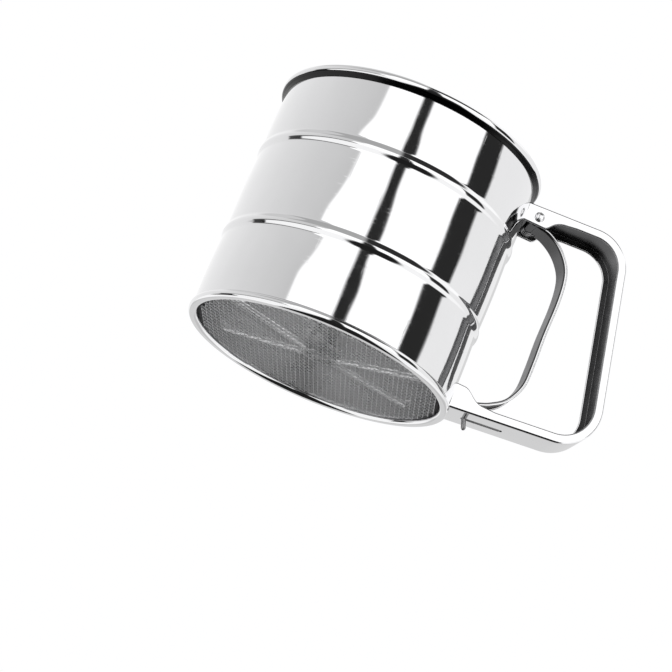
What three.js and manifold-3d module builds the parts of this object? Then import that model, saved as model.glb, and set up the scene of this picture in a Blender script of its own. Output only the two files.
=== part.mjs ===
// One-hand flour sifter: a round steel cup with a woven mesh floor, a strap handle and a squeeze
// trigger. The trigger drags a bent pull rod, and the rod turns a four-armed agitator on the mesh.
// Units are millimetres, +Z is up and +X points from the cup towards the handle.
// Inside the "sifter" group every place is measured from the cup's own axis, at the resting plane.

import * as THREE from 'three';
import * as BufferGeometryUtils from 'three/addons/utils/BufferGeometryUtils.js';
import Module from 'manifold-3d';

const wasm = await Module();
wasm.setup();

// ---------------------------------------------------------------- driving dimensions
const GAP = 0.3; // clearance kept between pieces that touch on the real object

// cup
const CUP_HEIGHT = 94.7;
const RIM_RADIUS = 51.5; // outside of the rolled rim
const RIM_ROLL = 1.8; // radius of the roll's section
const WALL_RADIUS = 49.8; // outside of the wall
const SHEET = 0.6; // cup sheet thickness
const BEAD_HEIGHTS = [31.6, 65.9]; // the two raised rings round the wall
const BEAD_HALF = 2.7;
const BEAD_PROUD = 1.0;
const WALL_FOOT = 3.7; // where the wall ends, above the clamping ring
const WALL_HOLE = 1.3; // radius of the pull rod's hole
const CUP_SEGMENTS = 64;

// clamping ring and mesh
const RING_ROLL = 1.8;
const RING_RADIUS = 48.7; // centre of the ring's section
const RING_FLAT = 0.25; // the ring's resting flat is this far above the roll's lowest point
const MESH_RADIUS = 46.5;
const MESH_LOW = 1.35;
const MESH_THICK = 0.6;

// handle: a channel bent from one strip
const HANDLE_WIDTH = 18.5;
const HANDLE_SHEET = 1.0;
const FLANGE = 3.5;
const TOP_AT_WALL = [48, 88.7];
const TOP_CORNER = [89.5, 91.4];
const LOW_CORNER = [105.9, 9.6];
const LOW_AT_WALL = [48, 3.4];
const TOP_BEND = 14.7;
const LOW_BEND = 15.6;
const EAR_LOW_Z = 81.3; // lower edge of the upper ears
const EAR_HIGH_Z = 13.1; // upper edge of the lower ears

// trigger
const TRIGGER_WIDTH = 10.8;
const TRIGGER_SHEET = 0.8;
const TRIGGER_FOLD = 1.4;
const HINGE = [54, 84.6]; // x and z of the hinge pin
const PIN_RADIUS = 1.2;
const PIN_HEAD = 1.9;
const KNUCKLE_RADIUS = 2.4;
const KNUCKLE_END = 2.6; // the knuckle stops here, so that the spring has room beside it
const SPRING_COIL = 2.15; // radius of the coil's centre line
const SPRING_WIRE = 0.35; // radius of its wire
const SPRING_TURNS = 2 + 2 / 3;
const SPRING_LEG = 6.6;

// pull rod
const ROD_RADIUS = 0.9;
const ROD_FOOT = [58.3, 0.5]; // lower end of its leg, which leans towards the cup
const ROD_KNEE = [55.6, 13.2]; // where the leg meets the level run through the wall
const ROD_BEND = 2.2;
const STROKE = 13.4;
const ROD_HOLE_X = 56.3; // its hole in the trigger's tail
const ROD_HOLE = 1.65;
const SLOT_START = 57.3; // the slot in the handle's lower arm
const SLOT_HALF = 1.35;

// agitator, turning about the cup's axis
const CRANK_Y = 15; // the hook's distance from the axis, across the rod's travel
const HOOK_FOOT_Z = 4.3;
const POST_RADIUS = 2.0;
const BORE_RADIUS = 2.3;
const HUB_RADIUS = 7.0;
const HUB_LOW = 2.5;
const HUB_FLOOR = 4.2;
const HUB_TOP = 8.0;
const LUG_LOW = 5.6;
const LUG_THICK = 1.4;
const LUG_HALF_WIDTH = 3.0;
const LUG_REACH = 19.6;
const LUG_SLOT_HALF = 1.35; // half width of the slot that the rod's hook runs in
const ARM_RADIUS = 1.1;
const ARM_Z = 3.6;
const ARM_REACH = 42.5;
const ARM_TIP_Z = 7.0;
const ARM_ANGLES = [23, 147.5, 203, 327.5];

// bridge over the agitator, and the rivet that hangs from it
const BRIDGE_LOW = 15.2;
const BRIDGE_THICK = 1.2;
const BRIDGE_WIDTH = 8;
const BRIDGE_FOOT = 9;
const BRIDGE_REACH = 48.6;
const GUIDE_BORE = 1.35;
const GUIDE_RADIUS = 3.0;
const GUIDE_THICK = 0.8;

// ---------------------------------------------------------------- small tools
const rad = THREE.MathUtils.degToRad;
const v2 = (x, y) => new THREE.Vector2(x, y);
const v3 = (x, y, z) => new THREE.Vector3(x, y, z);

// A steel-like material; the tone is a grey level from 0 to 1.
function metal(tone, roughness) {
  return new THREE.MeshStandardMaterial({
    color: new THREE.Color(tone, tone, tone),
    roughness,
    metalness: 1,
  });
}

const POLISHED = metal(0.82, 0.08);
const PLAIN = metal(0.6, 0.3);
const WIRE = metal(0.45, 0.45);

function named(name, geometry, material) {
  const mesh = new THREE.Mesh(geometry, material);
  mesh.name = name;
  return mesh;
}

// A closed geometry as a solid for boolean work.
function solid(geometry) {
  const bare = geometry.clone();
  bare.deleteAttribute('normal');
  bare.deleteAttribute('uv');
  const merged = BufferGeometryUtils.mergeVertices(bare, 1e-4);
  return new wasm.Manifold(new wasm.Mesh({
    numProp: 3,
    vertProperties: new Float32Array(merged.attributes.position.array),
    triVerts: new Uint32Array(merged.index.array),
  }));
}

// A solid back as a geometry with flat normals.
function geometryOf(body) {
  const mesh = body.getMesh();
  const geometry = new THREE.BufferGeometry();
  geometry.setAttribute('position', new THREE.BufferAttribute(new Float32Array(mesh.vertProperties), 3));
  geometry.setIndex(new THREE.BufferAttribute(new Uint32Array(mesh.triVerts), 1));
  geometry.computeVertexNormals();
  return geometry;
}

// A profile of [radius, height] points turned about Z.
function turned(points, segments) {
  const geometry = new THREE.LatheGeometry(points.map(([r, z]) => v2(r, z)), segments);
  geometry.rotateX(Math.PI / 2);
  return geometry;
}

// A plain ring or tube: inner and outer radius between two heights.
function collar(inner, outer, low, high, segments) {
  return turned([[inner, low], [outer, low], [outer, high], [inner, high], [inner, low]], segments);
}

// A cylinder along Y, centred on a point of the X-Z plane.
function crossPin(radius, x, z, yLow, yHigh, segments) {
  const geometry = new THREE.CylinderGeometry(radius, radius, yHigh - yLow, segments);
  geometry.translate(x, (yLow + yHigh) / 2, z);
  return geometry;
}

// An upright cylinder.
function post(radius, x, y, low, high, segments) {
  const geometry = new THREE.CylinderGeometry(radius, radius, high - low, segments);
  geometry.rotateX(Math.PI / 2);
  geometry.translate(x, y, (low + high) / 2);
  return geometry;
}

function block(x0, x1, y0, y1, z0, z1) {
  const geometry = new THREE.BoxGeometry(x1 - x0, y1 - y0, z1 - z0);
  geometry.translate((x0 + x1) / 2, (y0 + y1) / 2, (z0 + z1) / 2);
  return geometry;
}

// An outline in the X-Z plane, extruded along Y from yLow to yHigh.
function sideways(points, yLow, yHigh) {
  const outline = new THREE.Shape(points);
  const geometry = new THREE.ExtrudeGeometry(outline, { depth: yHigh - yLow, bevelEnabled: false });
  geometry.rotateX(Math.PI / 2);
  geometry.translate(0, yHigh, 0);
  return geometry;
}

// A round wire along a path of points, with its bends rounded to one radius.
function wire(points, bend, radius, sides, stepsPerBend) {
  const path = new THREE.CurvePath();
  let from = points[0];
  for (let i = 1; i < points.length - 1; i += 1) {
    const before = points[i].clone().sub(points[i - 1]).normalize();
    const after = points[i + 1].clone().sub(points[i]).normalize();
    const half = Math.acos(THREE.MathUtils.clamp(before.dot(after), -1, 1)) / 2;
    const cut = bend * Math.tan(half);
    const start = points[i].clone().addScaledVector(before, -cut);
    const end = points[i].clone().addScaledVector(after, cut);
    path.add(new THREE.LineCurve3(from, start));
    path.add(new THREE.QuadraticBezierCurve3(start, points[i].clone(), end));
    from = end;
  }
  path.add(new THREE.LineCurve3(from, points[points.length - 1]));
  const samples = [];
  path.curves.forEach((curve) => {
    const count = curve.isLineCurve3 ? 1 : stepsPerBend;
    for (let k = 0; k < count; k += 1) samples.push(curve.getPoint(k / count));
  });
  samples.push(points[points.length - 1].clone());
  return sweep(samples, radius, sides);
}

// A tube through the given points, closed at both ends.
function sweep(samples, radius, sides) {
  const section = new THREE.Shape();
  section.absarc(0, 0, radius, 0, 2 * Math.PI, false);
  const smooth = new THREE.CatmullRomCurve3(samples, false, 'centripetal');
  return new THREE.ExtrudeGeometry(section, {
    steps: Math.max(samples.length * 2, 8),
    curveSegments: sides / 2,
    bevelEnabled: false,
    extrudePath: smooth,
  });
}

// ---------------------------------------------------------------- the bent channels
// Offsets an open line of 2-D points sideways; positive goes to the right of its direction.
function offsetLine(points, distance) {
  return points.map((point, i) => {
    const before = points[Math.max(i - 1, 0)];
    const after = points[Math.min(i + 1, points.length - 1)];
    const along = after.clone().sub(before).normalize();
    return v2(point.x + along.y * distance, point.y - along.x * distance);
  });
}

// A channel: a strip that follows a line, with both its edges folded to the line's right.
function channel(line, width, sheet, fold) {
  const outer = offsetLine(line, 0).concat(offsetLine(line, fold).reverse());
  const inner = offsetLine(line, sheet).concat(offsetLine(line, fold + 3).reverse());
  const half = width / 2;
  const whole = solid(sideways(outer, -half, half));
  const hollow = solid(sideways(inner, -half + sheet, half - sheet));
  return whole.subtract(hollow);
}

// The outside line of the handle, from the wall out along the top and back along the bottom.
function handleLine() {
  const corners = [TOP_AT_WALL, TOP_CORNER, LOW_CORNER, LOW_AT_WALL].map(([x, z]) => v2(x, z));
  const line = [corners[0]];
  [[1, TOP_BEND], [2, LOW_BEND]].forEach(([i, bend]) => {
    const inward = corners[i - 1].clone().sub(corners[i]).normalize();
    const onward = corners[i + 1].clone().sub(corners[i]).normalize();
    const half = Math.acos(inward.dot(onward)) / 2;
    const middle = inward.clone().add(onward).normalize();
    const centre = corners[i].clone().addScaledVector(middle, bend / Math.sin(half));
    const first = corners[i].clone().addScaledVector(inward, bend / Math.tan(half)).sub(centre);
    const sweepAngle = Math.PI - 2 * half;
    const steps = 8;
    for (let k = 0; k <= steps; k += 1) {
      const spoke = first.clone().rotateAround(v2(0, 0), -sweepAngle * (k / steps));
      line.push(centre.clone().add(spoke));
    }
  });
  line.push(corners[3]);
  return line;
}

const HANDLE_LINE = handleLine();
const HANDLE_REACH = Math.max(...HANDLE_LINE.map((point) => point.x));
const CUP_X = -(HANDLE_REACH - RIM_RADIUS) / 2; // puts the origin under the middle of the box

// The trigger's finger face, from the hinge down to the tail.
function triggerLine() {
  const through = [
    [HINGE[0] + 1, HINGE[1] - KNUCKLE_RADIUS + 0.1], [60.1, 81.2], [65.6, 77.8], [69.8, 72.7],
    [71.6, 67], [72.2, 58], [71.9, 45], [72.1, 33], [71.6, 23.8], [68.2, 16.8], [63.4, 13.0],
    [59.6, 11.2], [56.4, 10.2], [53.2, 9.9],
  ];
  const curve = new THREE.SplineCurve(through.map(([x, z]) => v2(x, z)));
  return curve.getPoints(through.length * 2 - 2);
}

// ---------------------------------------------------------------- cup
function wallProfile() {
  const inner = WALL_RADIUS - SHEET;
  const bumps = (radius, heights) => heights.flatMap((z) => [
    [radius, z - BEAD_HALF],
    [radius + BEAD_PROUD * 0.8, z - BEAD_HALF * 0.45],
    [radius + BEAD_PROUD, z],
    [radius + BEAD_PROUD * 0.8, z + BEAD_HALF * 0.45],
    [radius, z + BEAD_HALF],
  ]);
  const rollCentre = RIM_RADIUS - RIM_ROLL;
  const rollZ = CUP_HEIGHT - RIM_ROLL;
  const roll = [];
  for (let k = 0; k <= 9; k += 1) {
    const angle = rad(-75 + (k / 9) * 245);
    roll.push([rollCentre + RIM_ROLL * Math.cos(angle), rollZ + RIM_ROLL * Math.sin(angle)]);
  }
  const outside = [[WALL_RADIUS, WALL_FOOT], ...bumps(WALL_RADIUS, BEAD_HEIGHTS)];
  const inside = [...bumps(inner, BEAD_HEIGHTS)].reverse();
  return [
    ...outside,
    ...roll,
    [inner, rollZ - 2 * RIM_ROLL],
    ...inside,
    [inner, WALL_FOOT],
    [WALL_RADIUS, WALL_FOOT],
  ];
}

function cupBody() {
  const shell = solid(turned(wallProfile(), CUP_SEGMENTS));
  const hole = new THREE.CylinderGeometry(WALL_HOLE, WALL_HOLE, 8, 12);
  hole.rotateZ(Math.PI / 2);
  hole.translate(WALL_RADIUS, 0, ROD_KNEE[1]);
  return named('cup_body', geometryOf(shell.subtract(solid(hole))), POLISHED);
}

// The rolled ring that closes over the wall's foot and the edge of the mesh.
function meshRing() {
  const profile = [];
  const steps = 12;
  const flat = Math.acos((RING_ROLL - RING_FLAT) / RING_ROLL);
  for (let k = 0; k <= steps; k += 1) {
    const angle = -Math.PI / 2 + flat + (k / steps) * (2 * Math.PI - 2 * flat);
    const z = RING_ROLL - RING_FLAT + RING_ROLL * Math.sin(angle);
    profile.push([RING_RADIUS + RING_ROLL * Math.cos(angle), Math.max(z, 0)]);
  }
  profile.push(profile[0]);
  return named('mesh_ring', turned(profile, CUP_SEGMENTS), POLISHED);
}

function sieveMesh() {
  const disc = new THREE.CylinderGeometry(MESH_RADIUS, MESH_RADIUS, MESH_THICK, 48);
  disc.rotateX(Math.PI / 2);
  disc.translate(0, 0, MESH_LOW + MESH_THICK / 2);
  return named('sieve_mesh', disc, WIRE);
}

// ---------------------------------------------------------------- handle
// The flanges grow into ears beside the wall; these are their outlines.
function earOutline(top) {
  const half = HANDLE_SHEET / 2;
  const shape = new THREE.Shape();
  if (top) {
    shape.moveTo(47, 88.4);
    shape.lineTo(47, EAR_LOW_Z);
    shape.lineTo(56.6, EAR_LOW_Z);
    shape.bezierCurveTo(58.6, EAR_LOW_Z, 58.6, 85.4, 64.6, 85.9);
    shape.lineTo(67.0, 86.3);
    shape.lineTo(67.0, 89.6);
  } else {
    shape.moveTo(47, LOW_AT_WALL[1] + half);
    shape.lineTo(66, LOW_AT_WALL[1] + 2.2 + half);
    shape.lineTo(66, 8.6);
    shape.lineTo(60.5, 8.8);
    shape.bezierCurveTo(56.6, 9.2, 55.4, EAR_HIGH_Z, 52.8, EAR_HIGH_Z);
    shape.lineTo(47, EAR_HIGH_Z);
  }
  return shape.getPoints(6);
}

function fixedHandle() {
  const half = HANDLE_WIDTH / 2;
  let body = channel(HANDLE_LINE, HANDLE_WIDTH, HANDLE_SHEET, FLANGE);
  [true, false].forEach((top) => {
    [-half, half - HANDLE_SHEET].forEach((y) => {
      body = body.add(solid(sideways(earOutline(top), y, y + HANDLE_SHEET)));
    });
  });
  // tabs that lie along the wall between the ears, where the handle is welded on
  const tabs = solid(block(47, 53, -half + 0.1, half - 0.1, EAR_LOW_Z + 1, TOP_AT_WALL[1] - 0.5))
    .add(solid(block(47, 53, -half + 0.1, half - 0.1, LOW_AT_WALL[1] + 0.5, 8.6)));
  const tabOuter = solid(post(WALL_RADIUS + GAP + HANDLE_SHEET, 0, 0, 0, CUP_HEIGHT, 96));
  body = body.add(tabs.intersect(tabOuter));
  const wall = solid(post(WALL_RADIUS + GAP + 0.05, 0, 0, -1, CUP_HEIGHT + 1, 96));
  body = body.subtract(wall);
  const slot = solid(block(SLOT_START, SLOT_START + STROKE, -SLOT_HALF, SLOT_HALF, 0, 8.2))
    .add(solid(post(SLOT_HALF, SLOT_START, 0, 0, 8.2, 16)))
    .add(solid(post(SLOT_HALF, SLOT_START + STROKE, 0, 0, 8.2, 16)));
  body = body.subtract(slot);
  body = body.subtract(solid(crossPin(PIN_RADIUS + GAP, HINGE[0], HINGE[1], -12, 12, 16)));
  return named('fixed_handle', geometryOf(body), POLISHED);
}

// ---------------------------------------------------------------- trigger, pin and spring
function trigger() {
  const half = TRIGGER_WIDTH / 2;
  // taken from the tail upwards, the line has the grip on its right, where the edges fold to
  const line = triggerLine().reverse();
  let body = channel(line, TRIGGER_WIDTH, TRIGGER_SHEET, TRIGGER_FOLD);
  body = body.add(solid(crossPin(KNUCKLE_RADIUS, HINGE[0], HINGE[1], -half, KNUCKLE_END, 20)));
  body = body.subtract(solid(block(48, HINGE[0] + 3.0, KNUCKLE_END, half + 1, 76, 92)));
  body = body.subtract(solid(crossPin(PIN_RADIUS + GAP, HINGE[0], HINGE[1], -12, 12, 16)));
  body = body.subtract(solid(post(ROD_HOLE, ROD_HOLE_X, 0, 6, 14, 16)));
  return named('trigger', geometryOf(body), POLISHED);
}

function hingePin() {
  const half = HANDLE_WIDTH / 2;
  const head = PIN_HEAD;
  const profile = [
    [0, -half - GAP - 1.0], [head * 0.6, -half - GAP - 0.9], [head, -half - GAP - 0.35],
    [head, -half - GAP], [PIN_RADIUS, -half - GAP], [PIN_RADIUS, half + GAP], [head, half + GAP],
    [head, half + GAP + 0.35], [head * 0.6, half + GAP + 0.9], [0, half + GAP + 1.0],
  ];
  const geometry = new THREE.LatheGeometry(profile.map(([r, y]) => v2(r, y)), 16);
  geometry.translate(HINGE[0], 0, HINGE[1]);
  return named('hinge_pin', geometry, POLISHED);
}

// A spacer tube on the pin, between the trigger's knuckle and the handle's near flange.
function hingeSpacer() {
  const near = -HANDLE_WIDTH / 2 + HANDLE_SHEET + GAP;
  const far = -TRIGGER_WIDTH / 2 - GAP;
  const inner = PIN_RADIUS + GAP;
  const geometry = new THREE.LatheGeometry(
    [v2(inner, near), v2(2.2, near), v2(2.2, far), v2(inner, far), v2(inner, near)],
    16,
  );
  geometry.translate(HINGE[0], 0, HINGE[1]);
  return named('hinge_spacer', geometry, PLAIN);
}

// Torsion spring round the pin: one leg on the handle's top web, the other on the trigger.
function returnSpring() {
  const first = KNUCKLE_END + 0.9;
  const last = HANDLE_WIDTH / 2 - HANDLE_SHEET - 0.8;
  const start = rad(60);
  const onCircle = (angle, y) => v3(
    HINGE[0] + SPRING_COIL * Math.cos(angle),
    y,
    HINGE[1] + SPRING_COIL * Math.sin(angle),
  );
  // each leg leaves the coil along its tangent
  const leg = (angle, y, side, length) => onCircle(angle, y).add(
    v3(Math.sin(angle) * side, 0, -Math.cos(angle) * side).multiplyScalar(length),
  );
  const samples = [leg(start, first, 1, SPRING_LEG), leg(start, first, 1, SPRING_LEG / 2)];
  const steps = 24;
  for (let k = 0; k <= steps; k += 1) {
    const share = k / steps;
    samples.push(onCircle(start + share * SPRING_TURNS * 2 * Math.PI, first + share * (last - first)));
  }
  samples.push(leg(-start, last, -1, SPRING_LEG / 2), leg(-start, last, -1, SPRING_LEG));
  return named('return_spring', sweep(samples, SPRING_WIRE, 8), PLAIN);
}

// ---------------------------------------------------------------- pull rod
function pullRod() {
  const rest = -STROKE / 2;
  const points = [
    v3(ROD_FOOT[0], 0, ROD_FOOT[1]),
    v3(ROD_KNEE[0], 0, ROD_KNEE[1]),
    v3(30, 0, ROD_KNEE[1]),
    v3(rest, -CRANK_Y, ROD_KNEE[1]),
    v3(rest, -CRANK_Y, HOOK_FOOT_Z),
  ];
  return named('pull_rod', wire(points, ROD_BEND, ROD_RADIUS, 10, 5), PLAIN);
}

// A thin eyelet that lines the rod's hole, inside the cup.
function rodGuide() {
  const geometry = collar(GUIDE_BORE, GUIDE_RADIUS, 0, GUIDE_THICK, 20);
  geometry.rotateY(-Math.PI / 2);
  geometry.translate(WALL_RADIUS - SHEET - GAP - 0.15, 0, ROD_KNEE[1]);
  return named('rod_guide', geometry, PLAIN);
}

// ---------------------------------------------------------------- agitator
function agitatorHub() {
  const profile = [
    [BORE_RADIUS, HUB_FLOOR], [4.9, HUB_FLOOR], [4.9, HUB_LOW], [HUB_RADIUS, HUB_LOW],
    [HUB_RADIUS, 5.6], [4.6, 6.6], [4.2, HUB_TOP], [BORE_RADIUS, HUB_TOP], [BORE_RADIUS, HUB_FLOOR],
  ];
  const restAngle = -Math.PI / 2 - Math.atan(STROKE / 2 / CRANK_Y);
  const outline = new THREE.Shape();
  outline.moveTo(3.0, -LUG_HALF_WIDTH);
  outline.lineTo(LUG_REACH - LUG_HALF_WIDTH, -LUG_HALF_WIDTH);
  outline.absarc(LUG_REACH - LUG_HALF_WIDTH, 0, LUG_HALF_WIDTH, -Math.PI / 2, Math.PI / 2, false);
  outline.lineTo(3.0, LUG_HALF_WIDTH);
  const reach = Math.hypot(CRANK_Y, STROKE / 2);
  const slot = new THREE.Path();
  slot.absarc(reach - 0.1, 0, LUG_SLOT_HALF, -Math.PI / 2, Math.PI / 2, false);
  slot.absarc(CRANK_Y - 0.05, 0, LUG_SLOT_HALF, Math.PI / 2, 1.5 * Math.PI, false);
  outline.holes.push(slot);
  const lug = new THREE.ExtrudeGeometry(outline, {
    depth: LUG_THICK,
    bevelEnabled: false,
    curveSegments: 8,
  });
  lug.translate(0, 0, LUG_LOW);
  lug.rotateZ(restAngle);
  const clear = solid(post(BORE_RADIUS, 0, 0, 0, 20, 24));
  const hub = solid(turned(profile, 24)).add(solid(lug)).subtract(clear);
  return named('agitator_hub', geometryOf(hub), PLAIN);
}

function agitatorArm(index, angle) {
  const start = HUB_RADIUS + GAP + 0.1;
  const points = [v3(start, 0, ARM_Z), v3(ARM_REACH - 1.2, 0, ARM_Z), v3(ARM_REACH, 0, ARM_TIP_Z)];
  const arm = named(`agitator_arm_${index}`, wire(points, 2.0, ARM_RADIUS, 10, 4), PLAIN);
  arm.rotation.z = rad(angle);
  return arm;
}

// ---------------------------------------------------------------- bridge and pivot
function bridgeBar() {
  const half = BRIDGE_WIDTH / 2;
  const high = BRIDGE_LOW + BRIDGE_THICK;
  const outline = [
    v2(-BRIDGE_REACH, BRIDGE_LOW + BRIDGE_FOOT), v2(-BRIDGE_REACH, BRIDGE_LOW), v2(BRIDGE_REACH, BRIDGE_LOW),
    v2(BRIDGE_REACH, BRIDGE_LOW + BRIDGE_FOOT), v2(BRIDGE_REACH - BRIDGE_THICK, BRIDGE_LOW + BRIDGE_FOOT),
    v2(BRIDGE_REACH - BRIDGE_THICK, high), v2(-BRIDGE_REACH + BRIDGE_THICK, high),
    v2(-BRIDGE_REACH + BRIDGE_THICK, BRIDGE_LOW + BRIDGE_FOOT),
  ];
  const bar = sideways(outline, -half, half);
  bar.rotateZ(Math.PI / 2);
  const hole = solid(post(BORE_RADIUS, 0, 0, BRIDGE_LOW - 1, high + 1, 20));
  return named('bridge_bar', geometryOf(solid(bar).subtract(hole)), PLAIN);
}

// A rivet that hangs from the bridge; its lower head keeps the agitator on.
function pivotPost() {
  const high = BRIDGE_LOW + BRIDGE_THICK + GAP;
  const profile = [
    [0, 2.3], [3.3, 2.3], [3.6, 2.7], [3.6, 3.1], [POST_RADIUS, 3.1], [POST_RADIUS, high],
    [3.9, high], [3.7, high + 0.8], [2.4, high + 1.5], [0, high + 1.7],
  ];
  return named('pivot_post', turned(profile, 20), PLAIN);
}

// ---------------------------------------------------------------- assembly
const sifter = new THREE.Group();
sifter.position.x = CUP_X;
sifter.add(
  cupBody(),
  meshRing(),
  sieveMesh(),
  fixedHandle(),
  trigger(),
  hingePin(),
  hingeSpacer(),
  returnSpring(),
  pullRod(),
  rodGuide(),
  agitatorHub(),
  ...ARM_ANGLES.map((angle, i) => agitatorArm(i + 1, angle)),
  bridgeBar(),
  pivotPost(),
  named('pivot_washer_lower', collar(BORE_RADIUS, 4.4, 3.4, 3.9, 20), PLAIN),
  named('pivot_washer_upper', collar(BORE_RADIUS, 4.2, HUB_TOP + GAP, HUB_TOP + GAP + 0.6, 20), PLAIN),
  named('pivot_spacer', collar(BORE_RADIUS, 3.4, HUB_TOP + 2 * GAP + 0.6, BRIDGE_LOW - GAP, 20), PLAIN),
);

const part = new THREE.Group();
part.add(sifter);

export default part;
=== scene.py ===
"""Looks of the flour sifter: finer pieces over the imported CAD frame, their steel, the studio and
the camera.

The pieces are built in millimetres from the cup's own axis, +Z up and +X towards the handle, and
`build` moves them into the frame, which is in metres.
"""

import math

import bmesh
import bpy
import numpy as np
from mathutils import Matrix, Vector


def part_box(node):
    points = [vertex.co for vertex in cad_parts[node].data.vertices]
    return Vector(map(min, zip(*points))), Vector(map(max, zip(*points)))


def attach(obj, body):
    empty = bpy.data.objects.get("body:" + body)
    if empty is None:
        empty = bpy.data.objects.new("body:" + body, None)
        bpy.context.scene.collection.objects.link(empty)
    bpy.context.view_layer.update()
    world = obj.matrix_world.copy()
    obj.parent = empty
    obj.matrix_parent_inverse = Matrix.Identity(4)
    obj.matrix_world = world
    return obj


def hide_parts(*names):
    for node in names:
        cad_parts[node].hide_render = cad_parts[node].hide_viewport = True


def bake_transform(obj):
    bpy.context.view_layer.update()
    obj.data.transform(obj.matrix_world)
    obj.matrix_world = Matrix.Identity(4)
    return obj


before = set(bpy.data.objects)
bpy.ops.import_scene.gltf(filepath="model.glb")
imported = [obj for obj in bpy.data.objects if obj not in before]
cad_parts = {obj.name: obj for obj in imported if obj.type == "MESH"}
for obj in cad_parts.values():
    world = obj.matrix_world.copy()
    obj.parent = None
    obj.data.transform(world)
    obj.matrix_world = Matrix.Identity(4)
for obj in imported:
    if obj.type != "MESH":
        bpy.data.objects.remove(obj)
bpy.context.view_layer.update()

MM = 0.001
TAU = 2 * math.pi
ARC_STEPS = 6  # steps round a folded corner
WEB_ARC = 4  # of these, how many still count as the channel's flat side


# ---------------------------------------------------------------- dimensions
def span(node):
    """A CAD node's lowest and highest corner, in millimetres from the cup's axis."""
    low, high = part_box(node)
    return (low - AXIS) / MM, (high - AXIS) / MM


def middle_of(node):
    low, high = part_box(node)
    return (low + high) / 2


ring_middle = middle_of("mesh_ring")
AXIS = Vector((ring_middle.x, ring_middle.y, 0))

# cup
CUP_HEIGHT = span("cup_body")[1].z
RIM_RADIUS = span("cup_body")[1].y  # outside of the rolled rim
RIM_ROLL = 1.8
WALL_RADIUS = RIM_RADIUS - 1.7
SHEET = 0.6
BEAD_HEIGHTS = (31.6, 65.9)
BEAD_HALF = 2.7
BEAD_PROUD = 0.85
WALL_SWELL = 0.35  # each stretch between two beads is this much barrel-shaped
WALL_FOOT = 2.4
WALL_STEPS = 300  # rows up the wall
ROLL_START, ROLL_END, ROLL_STEPS = -70, 168, 40  # degrees round the rolled rim, and its rows
PAINTED_RIM_SHADE_LOW = 90.1  # the painted shade under the rim starts here
PAINTED_RIM_SHADE_ROLL_ROWS = 6  # rows of the roll that get the same painted shade
CUP_STEPS = 320  # segments round the cup
ROD_PASSAGE = 1.35  # radius of the rod's hole in the wall and in its eyelet

# ring and mesh
RING_RADIUS = span("mesh_ring")[1].y
RING_ROLL = 1.8
RING_TOP = span("mesh_ring")[1].z
MESH_RADIUS = span("sieve_mesh")[1].y
MESH_MIDDLE = (span("sieve_mesh")[0].z + span("sieve_mesh")[1].z) / 2
MESH_PITCH = 1.8
MESH_WIRE = 0.14  # wire radius
CRIMP_STEPS = 4  # steps from one crossing to the next
WEAVE_SIDES = 6
MESH_TURN = -12.3  # degrees between the weave and the handle

# handle
HANDLE_WIDTH = span("fixed_handle")[1].y * 2
HANDLE_SHEET = 1.0
HANDLE_BEND = 0.8  # outside radius along its folded edges
FLANGE = 3.5
TOP_AT_WALL = (46.0, 88.57)
TOP_CORNER = (89.5, 91.4)
LOW_CORNER = (105.9, 9.6)
LOW_AT_WALL = (46.0, 3.186)
TOP_BEND = 14.7
LOW_BEND = 15.6
EAR_LOW_Z = 81.3  # lower edge of the upper ears, at the wall
EAR_HIGH_Z = 13.1  # upper edge of the lower ears, at the wall
UPPER_EARS_END = 68
LOWER_EARS_END = 67
BETWEEN_EARS_Z = 50
TAB_SHEET = 1.1

# hinge, trigger and rod
PIN = middle_of("hinge_pin") - AXIS
HINGE_X = PIN.x / MM
HINGE_Z = PIN.z / MM
PIN_RADIUS = 1.2
TRIGGER_WIDTH = -2 * span("trigger")[0].y
TRIGGER_SHEET = 0.8
TRIGGER_FOLD = 1.4
TRIGGER_BEND = 1.0
KNUCKLE_RADIUS = 2.4
KNUCKLE_END = 2.6
PIN_PLAY = 0.1
CUTTER_REACH = 12  # long enough to cut through the handle from side to side
TRIGGER_HOLE_X = 56.0
TRIGGER_HOLE = 2.0  # wider than in the CAD, so that the rod stays clear of it when squeezed
SPRING_COIL = 2.15
SPRING_WIRE = 0.35
SPRING_TURNS = 2 + 2 / 3
SPRING_START = math.radians(60)
SPRING_LEG = 6.6
ROD_RADIUS = 0.9
ROD_BEND = 2.2
ROD_Z = 13.2  # height of the rod's level run
ROD_FOOT_X, ROD_KNEE_X, ROD_LEVEL_END_X = 58.3, 55.6, 30
HOOK_LOW = 4.3
STROKE = 13.4
CRANK_Y = 15.0
SLOT_START = 57.3
SLOT_HALF = 1.35  # half the width of the handle's slot and of the crank's

# agitator, bridge and pivot
ARM_RADIUS = 1.1
ARM_BEND = 2.0
ARM_START, ARM_KNEE, ARM_Z = 6.2, 41.3, 3.6
ARM_TIP, ARM_TIP_Z = 42.2, 6.3
ARM_ANGLES = (23, 147.5, 203, 327.5)
HUB_RADIUS = 7.0
HUB_TOP = span("agitator_hub")[1].z
BORE_RADIUS = 2.3
POST_RADIUS = 2.0
BRIDGE_LOW = span("bridge_bar")[0].z
BRIDGE_THICK = 1.2
BRIDGE_WIDTH = 8.0
LUG_LOW, LUG_HIGH = 5.6, 7.0
LUG_HALF, LUG_START, LUG_REACH = 3.0, 3, 19.6


# ---------------------------------------------------------------- node helpers
def wire_up(tree, node_type, inputs=None, **settings):
    """A new node with its settings and inputs; an input that is a socket is linked."""
    node = tree.nodes.new(node_type)
    for key, value in settings.items():
        setattr(node, key, value)
    for key, value in (inputs or {}).items():
        if isinstance(value, bpy.types.NodeSocket):
            tree.links.new(value, node.inputs[key])
        else:
            node.inputs[key].default_value = value
    return node


def maths(tree, operation, *values):
    return wire_up(tree, "ShaderNodeMath", dict(enumerate(values)), operation=operation).outputs[0]


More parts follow.
